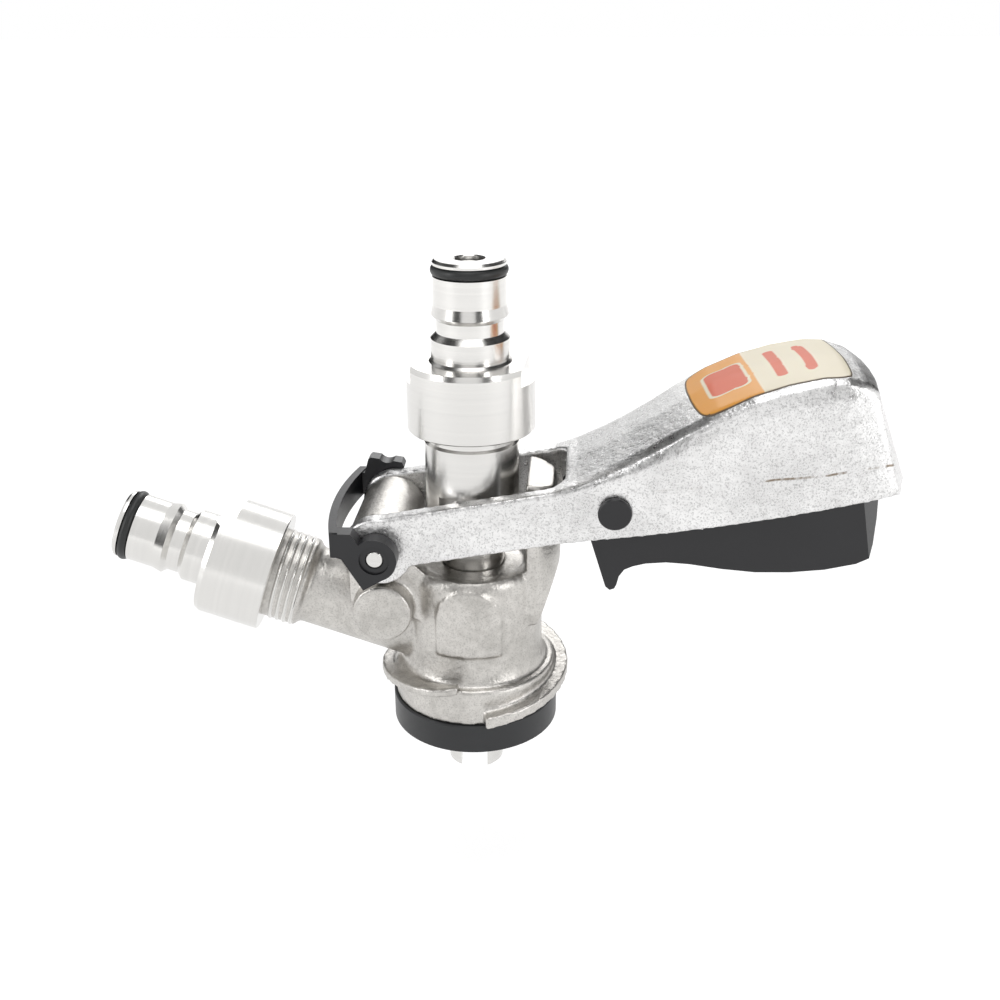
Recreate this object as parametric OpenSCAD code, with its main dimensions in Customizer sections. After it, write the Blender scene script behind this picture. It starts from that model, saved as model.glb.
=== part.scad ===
// Keg coupler with a lever handle and two push-on post adapters.
// Origin: centre of the bottom seal's lower face. +Z runs up the probe, +X points to the grip.
// The handle is drawn down, with the probe pushed through the seal.

/* [Bottom seal] */
// Outer radius of the rubber seal
seal_r = 21.3; // [21:0.1:21.8]
// Height of the rubber seal
seal_h = 7.4; // [6.8:0.1:8]
// Radius of the opening in the seal's lip
seal_lip_r = 9.6; // [9:0.1:10.4]
// Thickness of the seal's lip
seal_lip_h = 3; // [2.6:0.1:3.4]

/* [Body casting] */
// Radius of the spigot that carries the seal
spigot_r = 15; // [14.2:0.1:15.8]
// Radius of the base above the seal
base_r = 20.6; // [20.2:0.1:20.9]
// Height of the ledge on top of the base
base_top_z = 16.9; // [16.4:0.1:17.4]
// Inner radius of the ledge, where the flare to the barrel starts
ledge_in_r = 19; // [18.6:0.1:19.4]
// Radius of the barrel
barrel_r = 17.3; // [16.9:0.1:17.6]
// Height at which the flare ends on the barrel
flare_top_z = 23; // [21:0.5:25]
// Height of the rim round the top recess
rim_z = 44.6; // [44:0.1:45.2]
// Outer radius of the rim
rim_r = 16.4; // [15.9:0.1:16.6]
// Radius of the recess inside the rim
recess_r = 13.3; // [13:0.1:13.5]
// Depth of the recess below the rim
recess_depth = 0.9; // [0.6:0.1:1.4]
// Radius of the gas chamber round the probe
chamber_r = 11; // [10.6:0.1:11.6]
// Height of the gas chamber's roof
chamber_top_z = 31; // [30.6:0.1:32]
// Height of the raised round pad on the front
pad_low_z = 29.9; // [29.4:0.1:30.4]
// Half width of the raised pads
pad_half_w = 8; // [7.4:0.1:8.6]
// How far the raised pads stand out of the barrel
pad_proud = 0.7; // [0.4:0.1:1]
// Height of the small pad below the round one
small_pad_h = 4.4; // [4:0.1:4.8]
// Groove between the two pads
pad_gap = 0.6; // [0.4:0.1:0.9]

/* [Bayonet lugs] */
// Outer radius of the two lugs
lug_r = 24.2; // [23.6:0.1:24.8]
// Height of a lug's top face at its low end
lug_low_z = 11.3; // [11:0.1:11.6]
// Rise of a lug from its low end to its tip
lug_rise = 7.8; // [7.2:0.1:8.4]
// Thickness of a lug at its low end
lug_thick = 3.1; // [2.8:0.1:3.4]
// Angle of the low end of the front lug
lug_start_deg = -79; // [-84:1:-74]
// Angle that each lug spans
lug_span_deg = 163; // [156:1:168]

/* [Gas branch] */
// Upward slope of the gas branch
gas_slope_deg = 18.7; // [18:0.1:19.4]
// Distance from the probe axis to the mouth end of the nut
gas_nut_x = 50.85; // [50.4:0.1:51.4]
// Height of the branch axis there
gas_nut_z = 38.5; // [38.2:0.1:38.8]
// Radius of the cast branch
branch_r = 9.9; // [9.6:0.1:10.2]
// Length of thread that shows between nut and casting
thread_show = 8.4; // [7.6:0.1:9.2]
// Radius of the gas passage
gas_bore_r = 4.6; // [4.2:0.1:5]
// Radius of the blank valve boss beside the branch
boss_r = 7.25; // [7:0.05:7.5]
// Distance of the blank boss's face from the mid plane
boss_face_y = 17.9; // [17.4:0.1:18.4]

/* [Hinge] */
// Distance of the hinge pin from the probe axis
hinge_x = 21.5; // [21.3:0.1:21.7]
// Height of the hinge pin
hinge_z = 52.6; // [52.4:0.1:52.8]
// Radius of the hinge pin
hinge_pin_r = 2.15; // [2:0.05:2.3]
// Radius of the hinge lug on the casting
hinge_lug_r = 8; // [7.8:0.1:8.1]
// Half width of the hinge lug
hinge_lug_half_w = 12.7; // [12.5:0.1:12.8]

/* [Latch post] */
// Distance from the probe axis to the post's inner face
post_in_x = 13.6; // [13.5:0.1:14]
// Distance from the probe axis to the post's outer face
post_out_x = 21.8; // [21.5:0.1:22]
// Half width of the post at its inner face
post_half_w = 10.2; // [9.8:0.1:10.6]
// Height of the post's inner edge
post_top_z = 67.9; // [67.4:0.1:68.2]
// Drop of the post's top towards its outer face
post_top_drop = 1.8; // [1.4:0.1:2.2]
// Depth of the notch that the trigger's nose drops into
notch_depth = 1.5; // [1.2:0.1:1.8]

/* [Probe] */
// Radius of the probe's head and of its pipe thread
head_r = 11.45; // [11.3:0.05:11.6]
// Distance across the two flats of the head, halved
flat_y = 8.8; // [8.6:0.1:9]
// Radius of the stem
stem_r = 7.66; // [7.5:0.02:7.8]
// Radius of the stem's tip
tip_r = 7.16; // [7:0.02:7.3]
// Radius of the beer passage
beer_bore_r = 4.5; // [4.3:0.1:4.7]
// How far the tip reaches below the seal
tip_reach = 14.7; // [13.8:0.1:15.4]
// Width of the two slots across the tip
tip_slot_w = 6.9; // [6.4:0.1:7.4]
// Height of the slots
tip_slot_h = 9; // [8:0.5:10]
// Radius of the check ball
ball_r = 5.5; // [5.4:0.05:5.55]
// Radius of the chamber that the ball lifts in
ball_chamber_r = 6.4; // [6.3:0.05:6.5]
// Height of the ball's seat
ball_seat_z = 66; // [65.6:0.1:66.4]
// Lift of the ball
ball_lift = 3; // [2.6:0.1:3.2]

/* [Post adapters] */
// Height of the beer nut's lower end
beer_nut_z = 79.1; // [78.9:0.1:79.5]
// Length of an adapter
adapter_len = 40.5; // [39.8:0.1:41.2]
// Length of an adapter's nut
nut_len = 16.5; // [16:0.1:17]
// Radius of an adapter's nut
nut_r = 15.4; // [15:0.1:15.4]
// Depth of the threaded socket in the nut
nut_socket = 11.1; // [10.8:0.1:11.6]
// Distance from the axis to the nut's wrench flats
wrench_flat = 13; // [12.6:0.1:13.4]
// Length of the wrench flats along the axis
wrench_len = 4; // [3.6:0.1:4.4]
// Turn of the wrench flats
wrench_turn_deg = -4; // [-8:1:8]
// Radius of the land above the nut
land_r = 9.35; // [9.3:0.05:9.45]
// Length of the land
land_len = 5; // [4.8:0.1:5.4]
// Radius of the locking groove
lock_groove_r = 8; // [7.9:0.05:8.2]
// Radius of the post's end
post_end_r = 8.65; // [8.6:0.05:8.7]
// Radius of the hole in the post's end
post_hole_r = 3.5; // [3.3:0.1:3.6]
// Radius of the passage in the post
post_bore_r = 5.6; // [5.4:0.1:5.8]
// Thickness of the post's O-ring
ring_section_r = 1.31; // [1.25:0.02:1.35]
// Outer radius of the post's O-ring
ring_out_r = 9.08; // [9:0.02:9.14]

/* [Handle arms] */
// Angle of the handle above the horizontal
handle_tilt = 10.7; // [10.2:0.1:11]
// Half width of the fork outside
fork_half_w = 17.2; // [17:0.1:17.4]
// Thickness of each arm
arm_t = 4.2; // [3.8:0.1:4.2]
// Distance from the hinge pin down to the arm's lower edge
arm_low = 4.9; // [4.7:0.1:5.1]
// Radius of the arm's end round the hinge pin
arm_end_r = 8.5; // [8.4:0.05:8.6]
// Distance from the hinge pin to the drive bosses
drive_arm = 22; // [21.8:0.1:22.2]
// Angle of the drive bosses above the horizontal
drive_deg = 14; // [13.6:0.1:14.4]
// Radius of the drive bosses
drive_r = 5.6; // [5.4:0.1:5.7]

/* [Handle grip] */
// Distance from the hinge pin to the grip's end
grip_reach = 124.8; // [122:0.2:128]
// Half width of the grip
grip_half_w = 20.7; // [20.2:0.1:21.2]
// Height of the grip's crown above the hinge pin
grip_top = 25.6; // [24.8:0.1:26.4]
// How far the grip's end bulges in the middle
grip_bulge = 3.6; // [3.2:0.1:4]
// Wall of the hollow grip
grip_wall = 2.6; // [2.4:0.1:2.8]
// Distance from the hinge pin to the bottom of the fork's gap
crotch_reach = 46.8; // [46.4:0.1:47.2]
// Corner radius of the fork's gap
crotch_corner_r = 5; // [4:0.5:6]

/* [Label] */
// Length of the label on the grip
label_len = 34; // [32:0.5:36]
// Width of the label
label_w = 31; // [29:0.5:33]
// Thickness of the label
label_t = 0.35; // [0.25:0.05:0.5]

/* [Trigger] */
// Distance from the hinge pin to the trigger pin, along the arm
trigger_u = 57.3; // [57:0.1:57.6]
// Distance of the trigger pin above the hinge pin, square to the arm
trigger_v = 1.8; // [1.6:0.1:2]
// Radius of the trigger pin
trigger_pin_r = 2.2; // [2:0.1:2.4]
// Radius of the trigger pin's heads
trigger_head_r = 3.9; // [3.7:0.1:4.1]
// Distance from the trigger pin to the trigger's far end
trigger_len = 61; // [60.2:0.1:61.2]
// Depth of the trigger below its pin
trigger_depth = 23.4; // [22.6:0.1:24]
// Half width of the trigger
trigger_half_w = 16; // [15.6:0.1:16.4]
// Wall of the hollow trigger
trigger_wall = 2.4; // [2:0.1:2.8]
// Radius of the trigger's bearing round its pin
trigger_eye_r = 4.3; // [4.1:0.1:4.5]

/* [Pin clip] */
// Thickness of the clip's cheeks
cheek_t = 4.2; // [3.8:0.1:4.6]
// Radius of a cheek round the pin
cheek_r = 5.3; // [5:0.1:5.5]
// Distance from the pin to the cheek's flat foot
cheek_foot = 6.5; // [6.3:0.1:6.6]
// Direction of the foot
cheek_foot_deg = 211; // [209:1:213]
// Radius of the recess round the pin's end
cheek_recess_r = 3.6; // [3.4:0.1:3.8]
// Distance from the pin to the back of the strap
strap_reach = 12.9; // [12.7:0.1:13.2]
// Thickness of the strap
strap_t = 2; // [1.8:0.1:2.1]
// Height of the strap above the pin's centre
strap_high = 7; // [6.4:0.1:7.4]

/* [Fits] */
// Radial clearance of a shaft that turns or slides in its hole
running = 0.06; // [0.04:0.01:0.09]
// Radial clearance of a part that is pushed into its seat
seated = 0.03; // [0.02:0.01:0.05]
// Gap between parts that move past each other
side_gap = 0.3; // [0.2:0.05:0.3]
// Play of the drive bosses between the probe's shoulders
drive_play = 0.35; // [0.3:0.01:0.4]

/* [Hidden] */
$fn = 96;
// Overrun of every cut past the face it opens
cut = 2;
// Edge break on turned parts
edge = 0.6;
small_edge = 0.3;

// Heights on the probe's axis
recess_z = rim_z - recess_depth;
drive_z = hinge_z + drive_arm * sin(drive_deg);
slot_top_z = drive_z + drive_r + drive_play;
slot_low_z = drive_z - drive_r - drive_play;
collar_t = 2.1;
collar_z = slot_low_z - collar_t;
washer_t = 1.6;
probe_top_z = beer_nut_z + nut_socket - washer_t;
thread_start_z = beer_nut_z - small_edge;
head_step_z = thread_start_z - ball_lift;
stem_bore_r = stem_r + running;

// Guide seals: two O-rings in grooves of the guide bore
guide_ring_r = 0.9;
guide_ring_zs_shares = [0.3, 0.68];
guide_len = recess_z - chamber_top_z;

// Gas branch: its mouth lies one washer below the bottom of the nut's socket
branch_mouth = nut_socket - washer_t;
branch_thread_r = head_r;
valve_flange_r = 7.4;
valve_flange_t = 1.7;
valve_tube_r = 3.9;
valve_lip_t = 1.5;
valve_len = 15;
gas_run = (gas_nut_x - chamber_r * 0.86) / cos(gas_slope_deg);

// Adapter: heights from the nut's open end
seat_len = 2.1;
seat_z = adapter_len - 7;
poppet_head_r = 5.1;
poppet_stem_r = 2.2;
poppet_seal_t = 1.4;
poppet_body_r = 3;
poppet_body_len = 8;
spring_wire_r = 0.45;
spring_turns = 6;
poppet_head_z = seat_z - poppet_seal_t - small_edge;
spring_top = poppet_head_z - poppet_seal_t;

// Handle
crotch_half_w = fork_half_w - arm_t;
grip_lean_share = 0.11;
bulge_drop_share = 0.6;

// Stations along the handle. Each row: place along it, half width at the lower edge, height and
// half width of the side crease, height and half width of the top's edge, height of the crown,
// and how much of the end's lean and bulge applies there
grip_stations_shares = [
    [0.00, 0.831, 0.297, 0.831, 0.32, 0.80, 0.32, 0],
    [0.35, 0.831, 0.297, 0.831, 0.32, 0.80, 0.32, 0],
    [0.40, 0.865, 0.33, 0.85, 0.365, 0.74, 0.38, 0],
    [0.455, 0.912, 0.375, 0.88, 0.445, 0.71, 0.47, 0],
    [0.505, 0.948, 0.425, 0.91, 0.53, 0.72, 0.555, 0],
    [0.555, 0.972, 0.49, 0.933, 0.625, 0.75, 0.66, 0],
    [0.61, 0.99, 0.57, 0.948, 0.74, 0.785, 0.775, 0],
    [0.67, 1.00, 0.65, 0.957, 0.855, 0.805, 0.89, 0],
    [0.735, 1.00, 0.73, 0.957, 0.935, 0.813, 0.965, 0],
    [0.80, 0.987, 0.775, 0.943, 0.975, 0.805, 1.00, 0],
    [0.865, 0.955, 0.785, 0.91, 0.98, 0.785, 1.00, 0.1],
    [0.91, 0.925, 0.775, 0.88, 0.945, 0.765, 0.965, 0.35],
    [0.95, 0.885, 0.75, 0.84, 0.86, 0.74, 0.875, 0.7],
    [0.972, 0.85, 0.715, 0.805, 0.78, 0.70, 0.79, 1]
];
// Columns across the top, from one edge to the other
grip_columns_shares = [-0.5, 0, 0.5];

// Outline of the trigger, from its pin: along the handle as shares of trigger_len, and
// square to it as shares of trigger_depth
trigger_outline_shares = [
    [-0.07, 0.10], [0.07, 0.10], [0.11, -0.10], [0.97, -0.10], [0.995, -0.20], [0.998, -0.37],
    [0.975, -0.62], [0.945, -0.84], [0.92, -0.945], [0.87, -0.985], [0.75, -1.00],
    [0.62, -0.975], [0.49, -0.92], [0.365, -0.83], [0.245, -0.725], [0.16, -0.67],
    [0.08, -0.665], [0.03, -0.685], [-0.005, -0.715], [-0.03, -0.785], [-0.045, -0.875],
    [-0.057, -0.92], [-0.076, -0.93], [-0.09, -0.885], [-0.115, -0.33], [-0.11, -0.10]
];
// The nose that drops into the latch post's notch
trigger_nose_shares = [
    [-0.203, 0.05], [-0.185, 0.10], [0.02, 0.13], [0.02, -0.25], [-0.10, -0.25],
    [-0.19, -0.12], [-0.203, -0.07]
];
nose_half_w_share = 0.32;
trigger_pocket_shares = [
    [0.13, 0.5], [0.13, -0.53], [0.26, -0.615], [0.49, -0.80], [0.75, -0.885], [0.86, -0.87],
    [0.905, -0.79], [0.925, -0.40], [0.925, 0.5]
];
// Plan of the trigger: along the handle, and half width as a share of trigger_half_w
trigger_plan_shares = [[-0.22, 0.80], [0.02, 0.92], [0.16, 1.00], [0.92, 1.00], [1.01, 0.50]];

module turned(points) rotate_extrude() polygon(points);

// A thing drawn up the Z axis, set on the gas branch with zero at the nut's open end
module on_gas_axis()
    translate([-gas_nut_x, 0, gas_nut_z]) rotate([0, gas_slope_deg - 90, 0]) children();

module on_beer_axis() translate([0, 0, beer_nut_z]) children();

// The handle's own frame: X along the arm from the hinge pin, Z square to it
module in_handle() translate([-hinge_x, 0, hinge_z]) rotate([0, -handle_tilt, 0]) children();

// A profile drawn in X and Z, given a thickness along Y from low to high
module slab(low, high) translate([0, high, 0]) rotate([90, 0, 0]) linear_extrude(high - low) children();

function both_ways(points) = concat(
    [for (p = points) [p[0], p[1]]],
    [for (i = [len(points) - 1:-1:0]) [points[i][0], -points[i][1]]]
);

// Body casting

function flare_points(steps) = [
    for (i = [0:steps])
        let (a = 90 * i / steps)
        [
            barrel_r + (ledge_in_r - barrel_r) * (1 - sin(a)),
            flare_top_z - (flare_top_z - base_top_z) * cos(a)
        ]
];

module body_turned() turned(concat(
    [
        [0, seal_lip_h], [spigot_r, seal_lip_h], [spigot_r, seal_h], [base_r, seal_h],
        [base_r, base_top_z - edge], [base_r - edge, base_top_z]
    ],
    flare_points(5),
    [
        [barrel_r, rim_z - 3 * edge], [rim_r + small_edge, rim_z - edge],
        [rim_r - small_edge, rim_z], [0, rim_z]
    ]
));

lug_steps = 20;
lug_root_r = base_r - edge;
lug_tip_in = 1.4;
lug_thin_share = 0.35;

// One lug: a band that climbs round the base, with a square low end and a slim tip
function lug_ring(s) =
    let (
        a = lug_start_deg + lug_span_deg * s,
        top = lug_low_z + lug_rise * s,
        low = top - lug_thick * (1 - lug_thin_share * s),
        out = lug_r - lug_tip_in * max(0, (s - 0.93) / 0.07)
    )
    [
        [lug_root_r * cos(a), lug_root_r * sin(a), low], [out * cos(a), out * sin(a), low],
        [out * cos(a), out * sin(a), top], [lug_root_r * cos(a), lug_root_r * sin(a), top]
    ];

function side_faces(rings, n) = [
    for (i = [0:rings - 2], j = [0:n - 1], half = [0, 1])
        let (a = i * n + j, b = i * n + (j + 1) % n, c = a + n, d = b + n)
        half == 0 ? [a, b, c] : [b, d, c]
];

function tube_faces(rings, n) = concat(
    [[for (j = [n - 1:-1:0]) j]],
    side_faces(rings, n),
    [[for (j = [0:n - 1]) (rings - 1) * n + j]]
);

module lug() polyhedron(
    points = [for (i = [0:lug_steps]) each lug_ring(i / lug_steps)],
    faces = tube_faces(lug_steps + 1, 4)
);

module hinge_lug_profile() {
    translate([-hinge_x, hinge_z]) circle(hinge_lug_r);
    polygon([
        [-hinge_x - hinge_lug_r, hinge_z], [-hinge_x - hinge_lug_r, hinge_z - 2 * hinge_lug_r],
        [-barrel_r / 2, chamber_top_z], [-barrel_r / 2, recess_z - recess_depth],
        [-hinge_x + hinge_lug_r * cos(30), hinge_z - hinge_lug_r * sin(30)]
    ]);
}

post_round_r = 12.3;
post_foot_z = 31;
post_wide_z = 46.5;

module post_plan() intersection() {
    translate([post_out_x - post_round_r, 0]) circle(post_round_r);
    translate([0, -post_half_w]) square([2 * post_out_x, 2 * post_half_w]);
}

post_sweep_r = 43.9;
notch_z = hinge_z + post_sweep_r * sin(handle_tilt + 1.6);

module latch_post() difference() {
    intersection() {
        translate([0, 0, post_foot_z - cut]) linear_extrude(post_top_z) post_plan();
        slab(-post_half_w - cut, post_half_w + cut) difference() {
            polygon([
                [barrel_r / 2, post_foot_z - edge], [barrel_r - edge, post_foot_z - edge],
                [post_out_x + edge, post_wide_z], [post_out_x + edge, post_top_z - post_top_drop],
                [post_in_x, post_top_z], [post_in_x, rim_z - recess_depth],
                [barrel_r / 2, rim_z - recess_depth]
            ]);
            translate([post_out_x + edge, notch_z]) circle(notch_depth + edge);
        }
        translate([-hinge_x, post_half_w + cut, hinge_z]) rotate([90, 0, 0])
            cylinder(r = post_sweep_r, h = 2 * post_half_w + 2 * cut);
    }
    translate([0, 0, recess_z]) cylinder(r = recess_r, h = post_top_z);
}

// Round pad with a straight foot, and the small pad below it, both following the barrel
module front_pads() intersection() {
    cylinder(r = barrel_r + pad_proud, h = rim_z);
    slab(-barrel_r - cut, -barrel_r / 2) {
        translate([0, pad_low_z + pad_half_w * 0.62]) circle(pad_half_w);
        translate([-pad_half_w, pad_low_z]) square([2 * pad_half_w, pad_half_w * 0.62]);
        translate([-pad_half_w, pad_low_z - pad_gap - small_pad_h])
            square([2 * pad_half_w, small_pad_h]);
    }
}

boss_x = 21;
boss_z = 36.4;

module valve_boss() translate([-boss_x, 0, boss_z]) rotate([90, 0, 0]) {
    cylinder(r = boss_r, h = boss_face_y - small_edge);
    cylinder(r = boss_r - small_edge, h = boss_face_y);
}

module branch_outside() on_gas_axis() {
    turned([
        [0, -gas_run], [branch_r, -gas_run], [branch_r, -thread_show - 2 * edge],
        [branch_thread_r, -thread_show], [branch_thread_r, branch_mouth - edge],
        [branch_thread_r - edge, branch_mouth], [0, branch_mouth]
    ]);
}

module branch_bores() on_gas_axis() {
    translate([0, 0, -gas_run]) cylinder(r = gas_bore_r, h = gas_run + branch_mouth + cut);
    translate([0, 0, branch_mouth - valve_flange_t])
        cylinder(r = valve_flange_r + seated, h = valve_flange_t + cut);
}

module body_bores() {
    // Recess inside the rim, guide bore, chamber
    translate([0, 0, recess_z]) cylinder(r = recess_r, h = cut);
    translate([0, 0, chamber_top_z - cut]) cylinder(r = stem_bore_r, h = guide_len + 2 * cut);
    translate([0, 0, -cut]) cylinder(r = chamber_r, h = chamber_top_z + cut);
    for (s = guide_ring_zs_shares)
        translate([0, 0, chamber_top_z + guide_len * s - guide_ring_r - small_edge / 2])
            cylinder(r = stem_r + 2 * guide_ring_r + 2 * seated, h = 2 * guide_ring_r + small_edge);
    branch_bores();
    // Hinge pin
    translate([-hinge_x, hinge_lug_half_w + cut, hinge_z]) rotate([90, 0, 0])
        cylinder(r = hinge_pin_r + seated, h = 2 * (hinge_lug_half_w + cut));
}

module body() color("silver") difference() {
    union() {
        body_turned();
        lug();
        rotate([0, 0, 180]) lug();
        front_pads();
        valve_boss();
        branch_outside();
        slab(-hinge_lug_half_w, hinge_lug_half_w) hinge_lug_profile();
        latch_post();
    }
    body_bores();
}

module bottom_seal() color("#1c1c1e") turned([
    [seal_lip_r, 0], [seal_r, 0], [seal_r, seal_h - small_edge],
    [seal_r - small_edge, seal_h], [spigot_r + seated, seal_h], [spigot_r + seated, seal_lip_h],
    [seal_lip_r, seal_lip_h]
]);

module guide_seals() color("#1c1c1e") for (s = guide_ring_zs_shares)
    translate([0, 0, chamber_top_z + guide_len * s]) rotate_extrude()
        translate([stem_r + guide_ring_r + running / 2, 0]) circle(guide_ring_r);

// Rubber valve in the mouth of the gas branch: a flange, a tube and two lips that close flat
module gas_check_valve() color("#2a2a2c") on_gas_axis() translate([0, 0, branch_mouth]) difference() {
    union() {
        translate([0, 0, -valve_flange_t]) cylinder(r = valve_flange_r, h = valve_flange_t);
        intersection() {
            translate([0, 0, -valve_len]) cylinder(r = valve_tube_r, h = valve_len - edge);
            slab(-2 * valve_tube_r, 2 * valve_tube_r) polygon([
                [-valve_lip_t / 2, -valve_len - cut], [valve_lip_t / 2, -valve_len - cut],
                [valve_lip_t / 2, -valve_len], [valve_tube_r + cut, -valve_len / 3],
                [valve_tube_r + cut, 0], [-valve_tube_r - cut, 0],
                [-valve_tube_r - cut, -valve_len / 3], [-valve_lip_t / 2, -valve_len]
            ]);
        }
    }
    translate([0, 0, -valve_len / 2]) cylinder(r = valve_tube_r - valve_lip_t, h = valve_len);
}

// Post adapters

module washer() turned([
    [beer_bore_r, nut_socket - washer_t], [head_r - 2 * edge, nut_socket - washer_t],
    [head_r - 2 * edge, nut_socket], [beer_bore_r, nut_socket]
]);

ring_mid_r = ring_out_r - ring_section_r;
ring_groove_r = ring_mid_r - ring_section_r - seated;
ring_groove_top = adapter_len - 2 * edge;
ring_groove_low = ring_groove_top - 2 * ring_section_r - 2 * seated;
flare_r = 9.2;
lock_low = nut_len + edge + land_len + (land_r - lock_groove_r);
lock_high = lock_low + 3;

module adapter() difference() {
    turned([
        [0, 0], [nut_r - small_edge, 0], [nut_r, small_edge], [nut_r, nut_len - 2 * edge],
        [nut_r - edge, nut_len], [land_r + edge, nut_len], [land_r, nut_len + edge],
        [land_r, nut_len + edge + land_len], [lock_groove_r, lock_low],
        [lock_groove_r, lock_high], [flare_r, lock_high + 2 * edge],
        [post_end_r, lock_high + 6 * edge], [post_end_r, ring_groove_low],
        [ring_groove_r, ring_groove_low], [ring_groove_r, ring_groove_top],
        [post_end_r, ring_groove_top], [post_end_r, adapter_len - edge],
        [post_end_r - edge, adapter_len], [0, adapter_len]
    ]);
    turned([
        [0, -cut], [head_r + seated, -cut], [head_r + seated, nut_socket], [post_bore_r, nut_socket],
        [post_bore_r, seat_z], [post_hole_r, seat_z + seat_len],
        [post_hole_r, adapter_len - small_edge], [post_hole_r + small_edge, adapter_len],
        [post_hole_r + small_edge, adapter_len + cut], [0, adapter_len + cut]
    ]);
    rotate([0, 0, wrench_turn_deg]) for (side = [-1, 1])
        translate([side * (wrench_flat + nut_r) - nut_r, -nut_r, nut_len - wrench_len])
            cube([2 * nut_r, 2 * nut_r, wrench_len + cut]);
}

module post_ring() translate([0, 0, (ring_groove_low + ring_groove_top) / 2]) rotate_extrude()
    translate([ring_mid_r, 0]) circle(ring_section_r);

// Poppet: a stem that ends just below the post's rim, a head and a body inside the spring
module poppet() turned([
    [0, spring_top - poppet_body_len], [poppet_body_r, spring_top - poppet_body_len],
    [poppet_body_r, spring_top], [poppet_head_r, spring_top], [poppet_head_r, poppet_head_z],
    [poppet_stem_r, poppet_head_z], [poppet_stem_r, adapter_len - 2 * edge],
    [poppet_stem_r - small_edge, adapter_len - 2 * edge + small_edge],
    [0, adapter_len - 2 * edge + small_edge]
]);

module poppet_seal() turned([
    [poppet_stem_r + seated, poppet_head_z], [poppet_head_r, poppet_head_z],
    [poppet_head_r, poppet_head_z + poppet_seal_t],
    [poppet_stem_r + poppet_seal_t, poppet_head_z + 2 * poppet_seal_t],
    [poppet_stem_r + seated, poppet_head_z + 2 * poppet_seal_t]
]);

// Coil spring from z = low to z = high: one round wire on a helix
function coil_ring(mean_r, wire_r, low, high, turns, s) =
    let (a = 360 * turns * s, z = low + wire_r + (high - low - 2 * wire_r) * s)
    [for (k = [0:5]) [
        (mean_r + wire_r * cos(60 * k)) * cos(a), (mean_r + wire_r * cos(60 * k)) * sin(a),
        z + wire_r * sin(60 * k)
    ]];

module coil(mean_r, wire_r, low, high, turns) {
    steps = 8 * turns;
    least_gap = (high - low - 2 * wire_r) / turns - 2 * wire_r;
    echo("coil least gap mm", least_gap);
    polyhedron(
        points = [for (i = [0:steps]) each coil_ring(mean_r, wire_r, low, high, turns, i / steps)],
        faces = tube_faces(steps + 1, 6)
    );
}

module poppet_spring() coil(
    poppet_head_r - spring_wire_r - small_edge, spring_wire_r, nut_socket + seated,
    spring_top - seated, spring_turns
);

module gas_washer() color("#8a8f8a") on_gas_axis() washer();
module gas_adapter() color("gainsboro") on_gas_axis() adapter();
module gas_post_ring() color("#141416") on_gas_axis() post_ring();
module gas_poppet() color("lightgray") on_gas_axis() poppet();
module gas_poppet_seal() color("#222224") on_gas_axis() poppet_seal();
module gas_poppet_spring() color("darkgray") on_gas_axis() poppet_spring();

module beer_washer() color("#8a8f8a") on_beer_axis() washer();
module beer_adapter() color("gainsboro") on_beer_axis() adapter();
module beer_post_ring() color("#141416") on_beer_axis() post_ring();
module beer_poppet() color("lightgray") on_beer_axis() poppet();
module beer_poppet_seal() color("#222224") on_beer_axis() poppet_seal();
module beer_poppet_spring() color("darkgray") on_beer_axis() poppet_spring();

// Probe

ball_rest_z = ball_seat_z + sqrt(pow(ball_r, 2) - pow(beer_bore_r, 2)) + small_edge / 6;
tip_taper_z = -tip_reach + tip_slot_h + 2 * edge;

module probe() color("gainsboro") difference() {
    turned([
        [0, -tip_reach], [tip_r - edge, -tip_reach], [tip_r, -tip_reach + edge], [tip_r, tip_taper_z],
        [stem_r, tip_taper_z + 2 * edge], [stem_r, collar_z], [head_r - small_edge, collar_z],
        [head_r, collar_z + small_edge], [head_r, head_step_z], [head_r - edge, head_step_z + edge],
        [head_r - edge, thread_start_z - edge], [head_r, thread_start_z],
        [head_r, probe_top_z - edge], [head_r - edge, probe_top_z], [0, probe_top_z]
    ]);
    // Beer passage and the ball's chamber
    translate([0, 0, -tip_reach - cut]) cylinder(r = beer_bore_r, h = ball_seat_z + tip_reach + 2 * cut);
    translate([0, 0, ball_seat_z]) cylinder(r = ball_chamber_r, h = probe_top_z);
    // Flats that the drive bosses bear in
    for (side = [-1, 1])
        translate([-head_r, side * (flat_y + head_r) - head_r, slot_low_z])
            cube([2 * head_r, 2 * head_r, slot_top_z - slot_low_z]);
    // Slots across the tip
    translate([-tip_slot_w / 2, -tip_r - cut, -tip_reach - cut])
        cube([tip_slot_w, 2 * (tip_r + cut), tip_slot_h + cut]);
}

module check_ball() color("silver") translate([0, 0, ball_rest_z]) sphere(ball_r);

retainer_leg_r = 1.1;
retainer_ring_h = 3;
retainer_low_z = ball_rest_z + ball_r + ball_lift + small_edge;

// Cage that stops the ball's lift: a ring under the washer and three legs
module ball_retainer() color("#e8e8e4") {
    turned([
        [ball_chamber_r - 2 * retainer_leg_r, probe_top_z - retainer_ring_h],
        [ball_chamber_r - seated, probe_top_z - retainer_ring_h],
        [ball_chamber_r - seated, probe_top_z], [ball_chamber_r - 2 * retainer_leg_r, probe_top_z]
    ]);
    for (i = [0:2]) rotate([0, 0, 120 * i]) {
        translate([ball_chamber_r - retainer_leg_r - edge, 0, retainer_low_z])
            cylinder(r = retainer_leg_r, h = probe_top_z - retainer_low_z - edge);
        translate([retainer_leg_r, -retainer_leg_r, retainer_low_z])
            cube([ball_chamber_r - 3 * retainer_leg_r, 2 * retainer_leg_r, retainer_leg_r]);
    }
}

// Hinge pin: its ends lie in the recesses of the clip's cheeks
cheek_in_y = fork_half_w + side_gap;
cheek_out_y = cheek_in_y + cheek_t;
pin_end_y = cheek_out_y - edge;

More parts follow.
